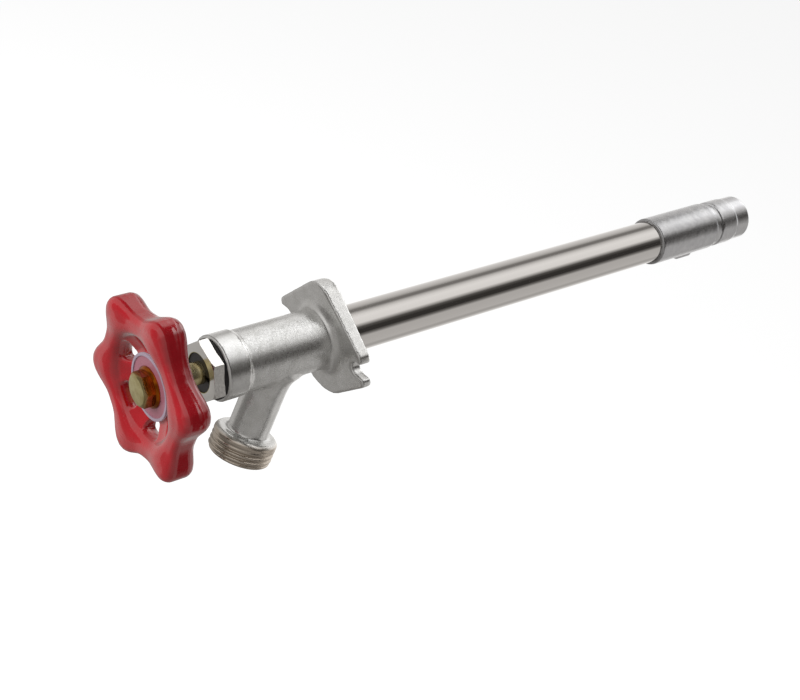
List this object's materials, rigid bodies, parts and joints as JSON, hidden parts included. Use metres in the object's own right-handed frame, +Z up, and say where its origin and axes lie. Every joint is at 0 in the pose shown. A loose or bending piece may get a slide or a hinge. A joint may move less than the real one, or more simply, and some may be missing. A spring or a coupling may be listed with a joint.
{
  "type": "frost free sillcock",
  "caption": "Wall tap with a notched flange, slanted hose spout and lobed hand wheel, whose valve seat sits at the inlet end of a long barrel tube.",
  "frame": {"origin": "centre of the wall flange's back face, on the tube's axis", "axes": "+Y along the tube into the wall, towards the inlet; +Z up; the spout points down and forward"},
  "size_m": [0.0726, 0.3436, 0.0846],
  "materials": {
    "cast_head": "satin nickel plate over a sand casting",
    "chrome_tube": "polished",
    "cast_inlet": "satin nickel plate over brass",
    "bright_nut": "polished",
    "black_rubber": "matt",
    "black_nylon": "matt",
    "graphite_packing": "matt",
    "white_nylon": "matt",
    "brass": "turned",
    "red_enamel": "gloss enamel",
    "plain_plate": "satin",
    "yellow_zinc": "yellow passivated zinc plate",
    "plain_steel": "bright"
  },
  "bodies": {
    "tap_body": {"head_casting": "cast_head", "barrel_tube": "chrome_tube", "inlet_fitting": "cast_inlet", "bonnet_nut": "bright_nut", "bonnet_gasket": "black_rubber", "packing_gland": "black_nylon", "packing_washer": "brass", "stem_packing": "graphite_packing", "stem_o_ring": "black_rubber"},
    "seat_disc": {"disc_holder": "brass", "seat_washer": "black_rubber", "washer_screw": "brass"},
    "stem": {"handle_wheel": "red_enamel", "handle_plate": "plain_plate", "handle_screw": "yellow_zinc", "stem_spindle": "brass", "stop_washer": "white_nylon", "operating_rod": "brass", "rod_pins": "plain_steel", "threaded_plug": "brass", "swivel_pin": "plain_steel"}
  },
  "joints": [
    {"name": "stem_travel", "type": "slide", "parent": "tap_body", "child": "seat_disc", "axis": [0, -1, 0], "range_m": [0, 0.0077]},
    {"name": "handle_turn", "type": "hinge", "parent": "seat_disc", "child": "stem", "pos_m": [0, 0, 0], "axis": [0, -1, 0], "range_deg": [0, 1080]}
  ],
  "couplings": [
    {"joint": "stem_travel", "follows": "handle_turn", "m_per_rad": 0.00040425}
  ]
}
